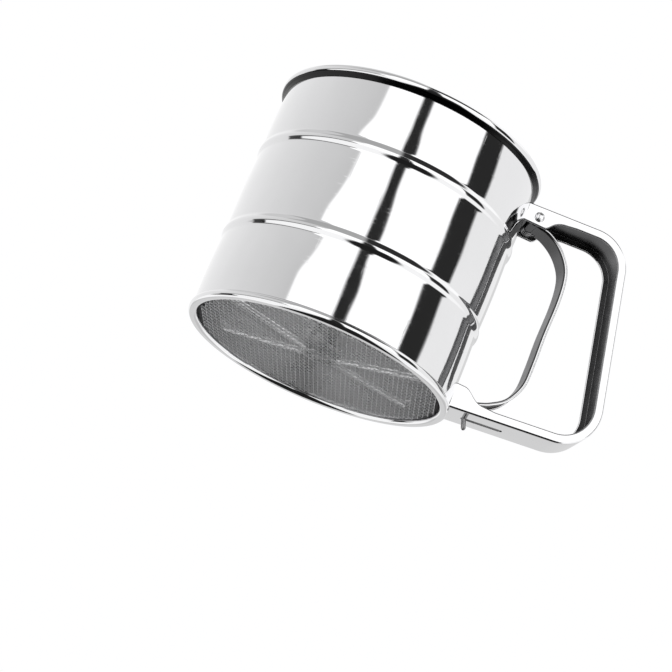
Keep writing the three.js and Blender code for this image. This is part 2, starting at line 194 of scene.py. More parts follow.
def remap(tree, value, low, high, to_low, to_high):
    inputs = {0: value, 1: low, 2: high, 3: to_low, 4: to_high}
    return wire_up(tree, "ShaderNodeMapRange", inputs).outputs[0]


def smooth_step(tree, value, low, high):
    inputs = {0: value, 1: low, 2: high, 3: 0.0, 4: 1.0}
    node = wire_up(tree, "ShaderNodeMapRange", inputs, interpolation_type="SMOOTHSTEP")
    return node.outputs[0]


def noise(tree, where, scale, detail, roughness=0.5):
    inputs = {"Vector": where, "Scale": scale, "Detail": detail, "Roughness": roughness}
    return wire_up(tree, "ShaderNodeTexNoise", inputs).outputs[0]


def stretched(tree, where, scale):
    node = wire_up(tree, "ShaderNodeMapping", {"Vector": where, "Scale": scale})
    return node.outputs[0]


# ---------------------------------------------------------------- materials
def steel(name, light, dark, smooth, rough, scratch, wave, wear, rim=1.0):
    """Bare steel. Its tone lies between light and dark, its roughness between smooth and rough;
    scratch is how deep the fine lines in two directions are, wave how uneven the sheet is in
    millimetres, wear how light and dull the edges are, and rim the tint of the reflection at a
    grazing angle. All textures run in the object's own space."""
    material = bpy.data.materials.new(name)
    material.use_nodes = True
    tree = material.node_tree
    tree.nodes.clear()
    where = wire_up(tree, "ShaderNodeTexCoord").outputs["Object"]
    clouds = noise(tree, where, 45.0, 5.0, 0.6)
    smudges = noise(tree, where, 140.0, 6.0, 0.65)
    lines_a = noise(tree, stretched(tree, where, (900.0, 900.0, 60.0)), 1.0, 3.0, 0.7)
    lines_b = noise(tree, stretched(tree, where, (120.0, 140.0, 2400.0)), 1.0, 2.0, 0.6)
    along = smooth_step(tree, lines_a, 0.62, 0.8)
    across = smooth_step(tree, lines_b, 0.64, 0.8)
    scratches = maths(tree, "MAXIMUM", along, across)
    pointed = wire_up(tree, "ShaderNodeNewGeometry").outputs["Pointiness"]
    edges = smooth_step(tree, pointed, 0.52, 0.6)

    tone = wire_up(tree, "ShaderNodeMix", {0: clouds, 6: dark, 7: light}, data_type="RGBA").outputs[2]
    worn = maths(tree, "MULTIPLY", edges, wear)
    colour = wire_up(tree, "ShaderNodeMix", {0: worn, 6: tone, 7: light}, data_type="RGBA").outputs[2]
    gloss = remap(tree, smudges, 0.3, 0.75, smooth, rough)
    gloss = maths(tree, "ADD", gloss, maths(tree, "MULTIPLY", scratches, rough * 0.35))
    gloss = maths(tree, "ADD", gloss, maths(tree, "MULTIPLY", worn, 0.08))

    sheet_wave = noise(tree, where, 50.0, 1.0, 0.3)
    uneven = {"Strength": 1.0, "Distance": wave * MM, "Height": sheet_wave}
    ripple = wire_up(tree, "ShaderNodeBump", uneven).outputs[0]
    lines = {"Strength": scratch, "Distance": 0.02 * MM, "Height": scratches, "Normal": ripple}
    normal = wire_up(tree, "ShaderNodeBump", lines).outputs[0]
    surface = {
        "Base Color": colour,
        "Roughness": gloss,
        "Normal": normal,
        "Metallic": 1.0,
        "IOR": 2.5,
        "Specular Tint": grey(rim),
    }
    shader = wire_up(tree, "ShaderNodeBsdfPrincipled", surface)
    wire_up(tree, "ShaderNodeOutputMaterial", {"Surface": shader.outputs[0]})
    return material


def grey(value):
    return (value, value, value * 1.01, 1.0)


POLISHED = steel("polished_steel", grey(0.86), grey(0.80), 0.03, 0.08, 0.25, 0.10, 0.5)
PLAIN = steel("plain_steel", grey(0.62), grey(0.48), 0.18, 0.34, 0.6, 0.03, 0.8)
SPRING = steel("spring_steel", grey(0.46), grey(0.34), 0.20, 0.34, 0.6, 0.01, 0.5)
# Painted shade: dark steel for the inside of the handle's and the trigger's channels, the handle's cut
# faces and the tabs under the handle, where shade falls
PAINTED_SHADE_STEEL = steel("painted_shade_inside", grey(0.28), grey(0.20), 0.16, 0.34, 0.6, 0.05, 0.3, 0.3)
# A duller sheared edge, darkened further as a painted dark outline along the flanges' lips
LIP_WITH_PAINTED_OUTLINE = steel("sheared_lip_painted_outline", grey(0.40), grey(0.30), 0.30, 0.46, 0.6, 0.05, 0.3)
INSIDE = steel("inside_of_cup", grey(0.66), grey(0.56), 0.24, 0.36, 0.15, 0.05, 0.3)
BRIGHT = steel("bright_wire", grey(0.92), grey(0.86), 0.22, 0.34, 0.4, 0.01, 0.3)
# Painted shade: near-black steel for the band under the rolled rim and the rod's hole in the wall,
# standing in for the shade there
PAINTED_RIM_SHADE = steel("painted_rim_shade", grey(0.03), grey(0.015), 0.16, 0.34, 0.6, 0.0, 0.3)
# Painted reflection: near-black, slightly rougher steel, standing in for the dark reflection on the
# trigger's finger face and knuckle
PAINTED_REFLECTION_FACE = steel("painted_reflection_face", grey(0.15), grey(0.09), 0.16, 0.30, 0.6, 0.05, 0.4, 0.65)
DRAWN = steel("drawn_rod", grey(0.32), grey(0.20), 0.18, 0.34, 0.6, 0.02, 0.6)
WIRE = steel("woven_wire", grey(0.80), grey(0.62), 0.24, 0.42, 0.4, 0.0, 0.3)


# ---------------------------------------------------------------- outlines
def fillet(corners, radii, steps=8, closed=True):
    """A 2-D outline with its corners rounded, each by its own radius."""
    corners = [np.array(corner, float) for corner in corners]
    count = len(corners)
    if np.isscalar(radii):
        radii = [radii] * count
    outline = []
    for i, corner in enumerate(corners):
        at_end = not closed and i in (0, count - 1)
        if at_end or radii[i] <= 0:
            outline.append(corner)
            continue
        back = corners[i - 1] - corner
        ahead = corners[(i + 1) % count] - corner
        back /= np.linalg.norm(back)
        ahead /= np.linalg.norm(ahead)
        half = math.acos(np.clip(back @ ahead, -1, 1)) / 2
        bisector = (back + ahead) / np.linalg.norm(back + ahead)
        centre = corner + bisector * radii[i] / math.sin(half)
        first = corner + back * radii[i] / math.tan(half) - centre
        last = corner + ahead * radii[i] / math.tan(half) - centre
        turn = math.atan2(first[0] * last[1] - first[1] * last[0], first @ last)
        for k in range(steps + 1):
            angle = turn * k / steps
            c, s = math.cos(angle), math.sin(angle)
            outline.append(centre + np.array([c * first[0] - s * first[1], s * first[0] + c * first[1]]))
    return outline


def dense(points, step):
    """The same open line with extra points, no further apart than step."""
    line = [points[0]]
    for a, b in zip(points[:-1], points[1:]):
        pieces = max(1, math.ceil(np.linalg.norm(np.array(b) - a) / step))
        line += [a + (np.array(b) - a) * (k / pieces) for k in range(1, pieces + 1)]
    return line


def through(points, per_gap):
    """A smooth line through the points, by Catmull-Rom."""
    points = [np.array(p, float) for p in points]
    ends = [2 * points[0] - points[1]] + points + [2 * points[-1] - points[-2]]
    line = []
    for p0, p1, p2, p3 in zip(ends[:-3], ends[1:-2], ends[2:-1], ends[3:]):
        for k in range(per_gap):
            t = k / per_gap
            line.append(
                0.5 * (2 * p1 + (p2 - p0) * t + (2 * p0 - 5 * p1 + 4 * p2 - p3) * t**2
                       + (3 * p1 - p0 - 3 * p2 + p3) * t**3)
            )
    line.append(points[-1])
    return line


def bezier(a, b, c, d, steps=24):
    a, b, c, d = (np.array(p, float) for p in (a, b, c, d))
    shares = np.linspace(0, 1, steps + 1)
    return [
        (1 - t) ** 3 * a + 3 * (1 - t) ** 2 * t * b + 3 * (1 - t) * t**2 * c + t**3 * d
        for t in shares
    ]


def rectangle(x_low, x_high, y_low, y_high):
    return [(x_low, y_low), (x_high, y_low), (x_high, y_high), (x_low, y_high)]


def circle(radius, steps, x=0.0):
    """A circle about (x, 0)."""
    angles = [TAU * k / steps for k in range(steps)]
    return [(x + radius * math.cos(a), radius * math.sin(a)) for a in angles]


# ---------------------------------------------------------------- mesh builders
def build(name, points, faces, sharp=35, materials=(), second=(), third=()):
    """A mesh object from points in millimetres about the cup's axis. The faces listed in second
    take the second material, those in third the third."""
    mesh = bpy.data.meshes.new(name)
    mesh.from_pydata([Vector(p) * MM + AXIS for p in points], [], faces)
    for material in materials:
        mesh.materials.append(material)
    for slot, listed in enumerate((second, third), 1):
        for index in listed:
            mesh.polygons[index].material_index = slot
    shell = bmesh.new()
    shell.from_mesh(mesh)
    bmesh.ops.recalc_face_normals(shell, faces=shell.faces)
    shell.to_mesh(mesh)
    shell.free()
    piece = bpy.data.objects.new(name, mesh)
    bpy.context.collection.objects.link(piece)
    return tidy_normals(piece, sharp)


def tidy_normals(piece, sharp=35):
    piece.data.polygons.foreach_set("use_smooth", [True] * len(piece.data.polygons))
    piece.data.set_sharp_from_angle(angle=math.radians(sharp))
    return piece


def even_normals(piece):
    """Keeps flat faces flat beside rounded edges, which a mirror finish needs."""
    modifier = piece.modifiers.new("weighted", "WEIGHTED_NORMAL")
    modifier.mode = "FACE_AREA"
    modifier.keep_sharp = True
    return piece


def bevelled(piece, width):
    """Rounds a piece's edges, by a width in millimetres."""
    modifier = piece.modifiers.new("bevel", "BEVEL")
    modifier.width = width * MM
    modifier.segments = 3
    return even_normals(piece)


def grid_faces(rows, columns, wrap_rows):
    """The faces between rows of points that each run round a closed section."""
    faces = []
    for i in range(rows if wrap_rows else rows - 1):
        for j in range(columns):
            a = i * columns + j
            b = i * columns + (j + 1) % columns
            c = (i + 1) % rows * columns + (j + 1) % columns
            d = (i + 1) % rows * columns + j
            faces.append((a, b, c, d))
    return faces


def turned_mesh(outline, segments, closed=True):
    """Points and faces of an outline of (radius, height) turned about Z. An open outline starts and
    ends on the axis."""
    points = []
    inner = outline if closed else outline[1:-1]
    for radius, height in inner:
        for k in range(segments):
            angle = TAU * k / segments
            points.append((radius * math.cos(angle), radius * math.sin(angle), height))
    faces = grid_faces(len(inner), segments, closed)
    if not closed:
        last = (len(inner) - 1) * segments
        points += [(0, 0, outline[0][1]), (0, 0, outline[-1][1])]
        low, high = len(points) - 2, len(points) - 1
        for k in range(segments):
            after = (k + 1) % segments
            faces.append((low, after, k))
            faces.append((high, last + k, last + after))
    return points, faces


def turned(name, outline, segments, closed=True):
    return build(name, *turned_mesh(outline, segments, closed))


def along_y(shell, x, z):
    """Moves a shell turned about Z onto an axis along Y through (x, z)."""
    points, faces = shell
    return [(x + px, pz, z - py) for px, py, pz in points], faces


def along_x(shell, x, z):
    """Moves a shell turned about Z onto an axis along X at height z."""
    points, faces = shell
    return [(x + pz, py, z - px) for px, py, pz in points], faces


def drill(radius, reach):
    """A round cutter about Z, as long on each side of the origin as reach."""
    return turned_mesh(rectangle(0, radius, -reach, reach), 32, closed=False)


def tube_mesh(path, radius, sides):
    """Points and faces of a round wire along a path, with half-round ends."""
    path = [Vector(p) for p in path]
    tangents = []
    for i in range(len(path)):
        ahead = path[min(i + 1, len(path) - 1)] - path[max(i - 1, 0)]
        tangents.append(ahead.normalized())
    side = tangents[0].orthogonal().normalized()
    rings = []
    sides_of = []
    for i, tangent in enumerate(tangents):
        if i:
            turn = tangents[i - 1].rotation_difference(tangent)
            side = (turn @ side).normalized()
        sides_of.append((side.copy(), tangent.cross(side)))
        rings.append((path[i], radius, i))
    caps = [math.radians(a) for a in (84, 66, 46, 24)]
    head = [(path[0] - tangents[0] * radius * math.sin(a), radius * math.cos(a), 0) for a in caps]
    foot = [(path[-1] + tangents[-1] * radius * math.sin(a), radius * math.cos(a), -1) for a in caps]
    rings = head + rings + foot[::-1]
    points = []
    for centre, size, i in rings:
        u, v = sides_of[i]
        for k in range(sides):
            angle = TAU * k / sides
            points.append(centre + (u * math.cos(angle) + v * math.sin(angle)) * size)
    faces = grid_faces(len(rings), sides, False)
    faces = [face[::-1] for face in faces]
    faces.append(tuple(range(sides)))
    faces.append(tuple(reversed(range(len(points) - sides, len(points)))))
    return points, faces


def tube(name, path, radius, sides):
    return build(name, *tube_mesh(path, radius, sides), 60)


def rounded_path(points, bend, steps):
    """A 3-D line with its corners rounded by arcs of one radius."""
    points = [Vector(p) for p in points]
    line = [points[0]]
    for before, corner, after in zip(points[:-2], points[1:-1], points[2:]):
        back = (before - corner).normalized()
        ahead = (after - corner).normalized()
        half = back.angle(ahead) / 2
        centre = corner + (back + ahead).normalized() * bend / math.sin(half)
        first = corner + back * bend / math.tan(half) - centre
        last = corner + ahead * bend / math.tan(half) - centre
        for k in range(steps + 1):
            line.append(centre + first.slerp(last, k / steps))
    return line + [points[-1]]


def join_meshes(parts):
    """Several (points, faces) shells as one."""
    points, faces = [], []
    for part_points, part_faces in parts:
        faces += [tuple(i + len(points) for i in face) for face in part_faces]
        points += list(part_points)
    return points, faces


def channel_mesh(line, depths, width, sheet, bend):
    """A strip that follows a line in the X-Z plane, both edges folded to the line's right. depths
    says how deep the folded edges are at each point of the line. The third result lists the faces
    inside the channel, the fourth those of the web's outer side and the fifth those of one folded
    edge's lip. In each section the eight corners follow each other in the order of radii."""
    half = width / 2
    tip = sheet * 0.42
    inner_bend = max(bend - sheet, 0.15)
    radii = [tip, bend, bend, tip, tip, inner_bend, inner_bend, tip]
    points = []
    for i, here in enumerate(line):
        ahead = line[min(i + 1, len(line) - 1)] - line[max(i - 1, 0)]
        ahead = ahead / np.linalg.norm(ahead)
        inward = np.array([ahead[1], -ahead[0]])
        deep = depths[i]
        corners = [
            (-half, deep), (-half, 0), (half, 0), (half, deep),
            (half - sheet, deep), (half - sheet, sheet), (-half + sheet, sheet), (-half + sheet, deep),
        ]
        section = fillet(corners, radii, ARC_STEPS)
        for y, depth in section:
            x, z = here + inward * depth
            points.append((x, y, z))
    count = len(section)
    faces = grid_faces(len(line), count, False)
    corner = ARC_STEPS + 1  # points on each rounded corner
    flat = corner * 2 - 1  # the web's own face in each section
    hollow = [i for i in range(len(faces)) if corner * 5 - 1 <= i % count < corner * 7]
    web = [i for i in range(len(faces)) if abs(i % count - flat) <= WEB_ARC]
    lips = [i for i in range(len(faces)) if i % count in (*range(ARC_STEPS), *range(corner * 7, count))]
    faces.append(tuple(reversed(range(count))))
    faces.append(tuple(range(len(points) - count, len(points))))
    return points, faces, hollow, web, lips


def block_mesh(low, high):
    """A box, used only to cut with."""
    xs, ys, zs = zip(low, high)
    points = [(x, y, z) for x in xs for y in ys for z in zs]
    faces = [(0, 1, 3, 2), (4, 6, 7, 5), (0, 4, 5, 1), (2, 3, 7, 6), (0, 2, 6, 4), (1, 5, 7, 3)]
    return points, faces


def prism_mesh(outline, low, high):
    """An outline in the X-Y plane between two heights."""
    count = len(outline)
    points = [(x, y, low) for x, y in outline] + [(x, y, high) for x, y in outline]
    faces = [(i, (i + 1) % count, count + (i + 1) % count, count + i) for i in range(count)]
    return points, faces + [tuple(reversed(range(count))), tuple(range(count, 2 * count))]


def cut(piece, *shells):
    """Takes closed shells out of a piece, for good. The cut faces take the piece's second material."""
    for shell in shells:
        steels = list(piece.data.materials)
        every = range(len(shell[1])) if len(steels) > 1 else ()
        cutter = build("cutter", *shell, materials=steels, second=every)
        modifier = piece.modifiers.new("cut", "BOOLEAN")
        modifier.solver = "EXACT"
        modifier.object = cutter
        settle(piece)
        bpy.data.objects.remove(cutter)
    return tidy_normals(piece)


def settle(piece):
    """Applies a piece's modifiers to its mesh."""
    evaluated = piece.evaluated_get(bpy.context.evaluated_depsgraph_get())
    mesh = bpy.data.meshes.new_from_object(evaluated)
    piece.modifiers.clear()
    old, piece.data = piece.data, mesh
    bpy.data.meshes.remove(old)


def finish_piece(piece, body, material, slot, *nodes):
    """Gives a piece its steel, unless it has its own, and its body, and lets it stand for its CAD
    nodes, if it has any."""
    if not piece.data.materials:
        piece.data.materials.append(material)
    if body:
        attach(piece, body)
    if nodes:
        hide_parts(*nodes)
    return piece


# ---------------------------------------------------------------- cup
def wall_line(radius):
    """The wall from its foot to the rim's roll, as (radius, height): three slightly swollen
    stretches with a rounded bead between them."""
    top = CUP_HEIGHT - 2 * RIM_ROLL - 0.6
    edges = [WALL_FOOT, *BEAD_HEIGHTS, top]
    line = []
    for z in np.linspace(WALL_FOOT, top, WALL_STEPS):
        bead = 0.0
        for height in BEAD_HEIGHTS:
            offset = (z - height) / BEAD_HALF
            if abs(offset) < 1:
                bead += BEAD_PROUD * (0.5 + 0.5 * math.cos(math.pi * offset))
        k = max(i for i in range(3) if z >= edges[i] - 1e-6)
        share = (z - edges[k]) / (edges[k + 1] - edges[k])
        swell = WALL_SWELL * math.sin(math.pi * min(share, 1))
        line.append((radius + bead + swell, z))
    return line


def cup_shell():
    outside = wall_line(WALL_RADIUS - WALL_SWELL)
    inside = wall_line(WALL_RADIUS - WALL_SWELL - SHEET)
    centre = RIM_RADIUS - RIM_ROLL
    height = CUP_HEIGHT - RIM_ROLL
    roll = []
    for angle in np.linspace(ROLL_START, ROLL_END, ROLL_STEPS):
        a = math.radians(angle)
        roll.append((centre + RIM_ROLL * math.cos(a), height + RIM_ROLL * math.sin(a)))
    outline = outside + roll + inside[::-1]
    # The wall just under the rim and the roll's lower rows get the painted shade; so do the faces cut
    # for the rod's hole
    dark = [i for i, (_, z) in enumerate(outline[:len(outside) + PAINTED_RIM_SHADE_ROLL_ROWS]) if z > PAINTED_RIM_SHADE_LOW]
    points, faces = turned_mesh(outline, CUP_STEPS)
    rim_shade_faces = [row * CUP_STEPS + k for row in dark for k in range(CUP_STEPS)]
    dull = range((len(outline) - len(inside)) * CUP_STEPS, len(points))
    steels = (POLISHED, PAINTED_RIM_SHADE, INSIDE)
    piece = build("cup_shell", points, faces, sharp=50, materials=steels, second=rim_shade_faces, third=dull)
    cut(piece, along_x(drill(ROD_PASSAGE, 4), WALL_RADIUS, ROD_Z))
    return finish_piece(even_normals(piece), "cup", POLISHED, "polished_steel", "cup_body")


def clamp_ring():
    centre = RING_RADIUS - RING_ROLL
    middle = RING_TOP - RING_ROLL
    outline = []
    for x, z in circle(RING_ROLL, 64, centre):
        outline.append((x, max(middle + z, 0)))  # the roll is flat where it stands on the table
    piece = turned("clamp_ring", outline, CUP_STEPS)
    return finish_piece(piece, "cup", POLISHED, "polished_steel", "mesh_ring")


def woven_mesh():
    """Two sets of crimped wires that pass over and under each other."""
    reach = MESH_RADIUS
    count = int(reach / MESH_PITCH)
    lift = MESH_WIRE * 0.95
    parts = []
    for across in (False, True):
        for i in range(-count, count + 1):
            offset = i * MESH_PITCH
            half = math.sqrt(reach**2 - offset**2)
            crossings = int(half / MESH_PITCH)
            if crossings < 1:
                continue
            path = []
            for k in range(-crossings * CRIMP_STEPS, crossings * CRIMP_STEPS + 1):
                along = k / CRIMP_STEPS
                up = math.cos(math.pi * (along + i + across))
                x, y = along * MESH_PITCH, offset
                path.append((y, x) if across else (x, y))
                path[-1] += (MESH_MIDDLE - up * lift,)
            parts.append(weave_wire(path, MESH_WIRE, across))
    points, faces = join_meshes(parts)
    turn = Matrix.Rotation(math.radians(MESH_TURN), 3, "Z")
    piece = build("woven_mesh", [turn @ Vector(p) for p in points], faces, 80)
    return finish_piece(piece, "cup", WIRE, "wire_mesh", "sieve_mesh")


def weave_wire(path, radius, across):
    """A light six-sided wire for the weave; smooth shading makes it look round."""
    side = (1, 0) if across else (0, 1)
    points = []
    for x, y, z in path:
        for k in range(WEAVE_SIDES):
            angle = TAU * k / WEAVE_SIDES
            aside = radius * math.cos(angle)
            points.append((x + side[0] * aside, y + side[1] * aside, z + radius * math.sin(angle)))
    faces = grid_faces(len(path), WEAVE_SIDES, False)
    last = len(points) - WEAVE_SIDES
    return points, faces + [tuple(range(WEAVE_SIDES))[::-1], tuple(range(last, len(points)))]


# ---------------------------------------------------------------- handle
def handle_line():
    corners = [TOP_AT_WALL, TOP_CORNER, LOW_CORNER, LOW_AT_WALL]
    rounded = fillet(corners, [0, TOP_BEND, LOW_BEND, 0], 40, closed=False)
    return dense(rounded, 0.5)


def ear_edges():
    """The lower edge of the upper ears and the upper edge of the lower ears, as (x, z) lines."""
    upper = [(40, EAR_LOW_Z), (56.6, EAR_LOW_Z)]
    upper += bezier((56.6, EAR_LOW_Z), (58.6, EAR_LOW_Z), (58.6, 85.4), (64.6, 85.9))[1:]
    upper += [(67.5, 86.4)]
    lower = [(40, EAR_HIGH_Z), (52.8, EAR_HIGH_Z)]
    lower += bezier((52.8, EAR_HIGH_Z), (55.4, EAR_HIGH_Z), (56.6, 9.2), (60.5, 8.9))[1:]
    lower += [(66.0, 8.8)]
    return np.array(upper), np.array(lower)


def flange_depths(line):
    """How deep the flanges are along the handle: deep ears at the wall, one depth elsewhere."""
    upper, lower = ear_edges()
    depths = []
    for i, (x, z) in enumerate(line):
        ahead = line[min(i + 1, len(line) - 1)] - line[max(i - 1, 0)]
        lean = abs(ahead[0]) / np.linalg.norm(ahead)
        deep = FLANGE
        if x < UPPER_EARS_END and z > BETWEEN_EARS_Z:
            deep = max(deep, (z - np.interp(x, upper[:, 0], upper[:, 1])) / lean)
        if x < LOWER_EARS_END and z < BETWEEN_EARS_Z:
            deep = max(deep, (np.interp(x, lower[:, 0], lower[:, 1]) - z) / lean)
        depths.append(deep)
    return [np.mean(depths[max(i - 1, 0):i + 2]) for i in range(len(depths))]


def wall_plate(low, high):
    """A curved tab that lies on the wall between two ears."""
    half = HANDLE_WIDTH / 2 - 0.3
    inner, outer = WALL_RADIUS, WALL_RADIUS + TAB_SHEET
    reach = math.asin(half / outer)
    angles = np.linspace(-reach, reach, 25)
    outline = [(outer * math.cos(a), outer * math.sin(a)) for a in angles]
    outline += [(inner * math.cos(a), inner * math.sin(a)) for a in angles[::-1]]
    return prism_mesh(outline, low, high)


def strap_handle():
    line = handle_line()
    body = channel_mesh(line, flange_depths(line), HANDLE_WIDTH, HANDLE_SHEET, HANDLE_BEND)
    # The channel's inside and the faces cut out of the handle take the painted shade
    steels = (POLISHED, PAINTED_SHADE_STEEL, LIP_WITH_PAINTED_OUTLINE)
    # The flanges' lips take the sheared steel with its painted dark outline
    piece = build("strap_handle", *body[:2], materials=steels, second=body[2], third=body[4])
    wall = prism_mesh(circle(WALL_RADIUS - 0.1, 256), -1, CUP_HEIGHT + 1)
    ends = rectangle(SLOT_START - SLOT_HALF, SLOT_START + STROKE + SLOT_HALF, -SLOT_HALF, SLOT_HALF)
    slot = prism_mesh(fillet(ends, SLOT_HALF * 0.999, 10), -1, 8.2)
    pin_hole = along_y(drill(PIN_RADIUS + PIN_PLAY, CUTTER_REACH), HINGE_X, HINGE_Z)
    cut(piece, wall, slot, pin_hole)
    return finish_piece(even_normals(piece), "cup", POLISHED, "polished_steel", "fixed_handle")


def weld_tabs():
    shells = [wall_plate(EAR_LOW_Z + 1, 88.0), wall_plate(4.2, 8.6)]
    piece = bevelled(build("weld_tabs", *join_meshes(shells)), 0.25)
    # The tabs between the ears, under the handle, take the painted shade
    return finish_piece(piece, "cup", PAINTED_SHADE_STEEL, "polished_steel")


# ---------------------------------------------------------------- trigger, pin and spring
def trigger_line():
    """The finger face from its tail up to the hinge, as (x, z)."""
    points = [
        (53.2, 9.9), (56.4, 10.2), (59.6, 11.2), (63.4, 13.0), (68.2, 16.8), (71.6, 23.8), (72.1, 33),
        (71.9, 45), (72.2, 58), (71.6, 67), (69.8, 72.7), (65.6, 77.8), (60.1, 81.2),
        (HINGE_X + 1, HINGE_Z - KNUCKLE_RADIUS + 0.1),
    ]
    return through(points, 10)


def squeeze_trigger():
    line = trigger_line()
    body = channel_mesh(line, [TRIGGER_FOLD] * len(line), TRIGGER_WIDTH, TRIGGER_SHEET, TRIGGER_BEND)
    half = TRIGGER_WIDTH / 2
    inner = PIN_RADIUS + PIN_PLAY
    # The inside of the trigger's channel takes the painted shade
    steels = (POLISHED, PAINTED_REFLECTION_FACE, PAINTED_SHADE_STEEL)
    # The finger face and the faces cut out of the trigger take the painted dark reflection
    piece = build("squeeze_trigger", *body[:2], materials=steels, second=body[3], third=body[2])
    notch = block_mesh((48, KNUCKLE_END, 76), (HINGE_X + 3.0, half + 1, 92))
    bore = along_y(drill(inner, CUTTER_REACH), HINGE_X, HINGE_Z)
    rod_hole = prism_mesh(circle(TRIGGER_HOLE, 32, TRIGGER_HOLE_X), 6, 14)
    cut(piece, notch, bore, rod_hole)
    finish_piece(even_normals(piece), "trigger", POLISHED, "polished_steel", "trigger")

    barrel = fillet(rectangle(inner, KNUCKLE_RADIUS, -half, KNUCKLE_END), [0.1, 0.3, 0.3, 0.1], 4)
    knuckle = build("trigger_knuckle", *along_y(turned_mesh(barrel, 64), HINGE_X, HINGE_Z))
    # The knuckle takes the same painted dark reflection
    finish_piece(even_normals(knuckle), "trigger", PAINTED_REFLECTION_FACE, "polished_steel")


def rivet_pin():
    half = HANDLE_WIDTH / 2
    quarter = np.linspace(0, math.pi / 2, 10)
    dome = [(1.9 * math.cos(a), half + 0.25 + 0.95 * math.sin(a)) for a in quarter]
    side = [(PIN_RADIUS, 0), (PIN_RADIUS, half + 0.05), (1.8, half + 0.05)] + dome
    outline = [(r, -y) for r, y in side[::-1]] + side[1:]
    outline[0] = (0, outline[0][1])
    outline[-1] = (0, outline[-1][1])
    shell = turned_mesh(outline, 64, closed=False)
    piece = build("rivet_pin", *along_y(shell, HINGE_X, HINGE_Z))
    return finish_piece(piece, "cup", BRIGHT, "polished_steel", "hinge_pin")


def pin_spacer():
    near = span("hinge_spacer")[0].y
    far = span("hinge_spacer")[1].y
    outline = fillet(rectangle(1.3, 2.2, near, far), [0.1, 0.2, 0.2, 0.1], 4)
    piece = build("pin_spacer", *along_y(turned_mesh(outline, 64), HINGE_X, HINGE_Z))
    return finish_piece(piece, "cup", PLAIN, "plain_steel", "hinge_spacer")


def torsion_spring():
    """A coil on the hinge pin; one leg lies on the trigger, the other under the handle's top."""
    first = KNUCKLE_END + 0.9
    last = HANDLE_WIDTH / 2 - HANDLE_SHEET - 0.8

    def on_coil(angle, y):
        across, up = SPRING_COIL * math.cos(angle), SPRING_COIL * math.sin(angle)
        return Vector((HINGE_X + across, y, HINGE_Z + up))

    def leg(angle, y, side, length):
        return on_coil(angle, y) + Vector((math.sin(angle) * side, 0, -math.cos(angle) * side)) * length

    path = [leg(SPRING_START, first, 1, length) for length in (SPRING_LEG, 5, 3.5, 2, 1)]
    steps = 110
    for k in range(steps + 1):
        share = k / steps
        angle = SPRING_START + share * SPRING_TURNS * TAU
        path.append(on_coil(angle, first + share * (last - first)))
    path += [leg(-SPRING_START, last, -1, length) for length in (1, 2, 3.5, 5, SPRING_LEG + 0.2)]
    piece = tube("torsion_spring", path, SPRING_WIRE, 12)
    finish_piece(piece, None, SPRING, "spring_steel", "return_spring")
    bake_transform(piece)
    return piece


# ---------------------------------------------------------------- rod and agitator
def bent_rod():
    rest = -STROKE / 2
    corners = [
        (ROD_FOOT_X, 0, 0.5 + ROD_RADIUS * 0.8), (ROD_KNEE_X, 0, ROD_Z), (ROD_LEVEL_END_X, 0, ROD_Z),
        (rest, -CRANK_Y, ROD_Z), (rest, -CRANK_Y, HOOK_LOW + ROD_RADIUS),
    ]
    piece = tube("bent_rod", rounded_path(corners, ROD_BEND, 12), ROD_RADIUS, 24)
    return finish_piece(piece, "rod", DRAWN, "plain_steel", "pull_rod")


def guide_eyelet():
    low, high = span("rod_guide")
    outline = fillet(rectangle(ROD_PASSAGE, 3.0, low.x, high.x), [0.25, 0.3, 0.3, 0.25], 5)
    piece = build("guide_eyelet", *along_x(turned_mesh(outline, 64), 0, ROD_Z))
    return finish_piece(piece, "cup", PLAIN, "plain_steel", "rod_guide")


def agitator_arms():
    for index, angle in enumerate(ARM_ANGLES, 1):
        node = f"agitator_arm_{index}"
        turn = Matrix.Rotation(math.radians(angle), 4, "Z")
        corners = [(ARM_START, 0, ARM_Z), (ARM_KNEE, 0, ARM_Z), (ARM_TIP, 0, ARM_TIP_Z)]
        path = rounded_path(corners, ARM_BEND, 10)
        piece = tube(f"whisk_arm_{index}", [turn @ p for p in path], ARM_RADIUS, 24)
        finish_piece(piece, "agitator", BRIGHT, "plain_steel", node)


def hub_disc():
    corners = [
        (BORE_RADIUS, 4.2), (4.9, 4.2), (4.9, 2.5), (HUB_RADIUS, 2.5), (HUB_RADIUS, 5.6), (4.6, 6.6),
        (4.2, HUB_TOP), (BORE_RADIUS, HUB_TOP),
    ]
    outline = fillet(corners, [0.2, 0.3, 0.2, 0.4, 0.6, 0.5, 0.3, 0.2], 5)
    piece = turned("hub_disc", outline, 128)
    finish_piece(even_normals(piece), "agitator", PLAIN, "plain_steel", "agitator_hub")


def crank_lug():
    """The slotted arm that the rod's hook drives."""
    rest_angle = -math.pi / 2 - math.atan(STROKE / 2 / CRANK_Y)
    far = math.hypot(CRANK_Y, STROKE / 2) - 0.1
    outer = rectangle(LUG_START, LUG_REACH, -LUG_HALF, LUG_HALF)
    ends = [0, LUG_HALF * 0.99, LUG_HALF * 0.99, 0]
    lug = build("crank_lug", *prism_mesh(fillet(outer, ends, 12), LUG_LOW, LUG_HIGH))
    slot = rectangle(CRANK_Y - SLOT_HALF, far + SLOT_HALF, -SLOT_HALF, SLOT_HALF)
    hub_room = circle(BORE_RADIUS + 0.5, 48)
    cut(lug, prism_mesh(fillet(slot, SLOT_HALF * 0.99, 10), 4, 9), prism_mesh(hub_room, 4, 9))
    turn = Matrix.Translation(AXIS) @ Matrix.Rotation(rest_angle, 4, "Z") @ Matrix.Translation(-AXIS)
    lug.data.transform(turn)
    finish_piece(bevelled(lug, 0.2), "agitator", PLAIN, "plain_steel")


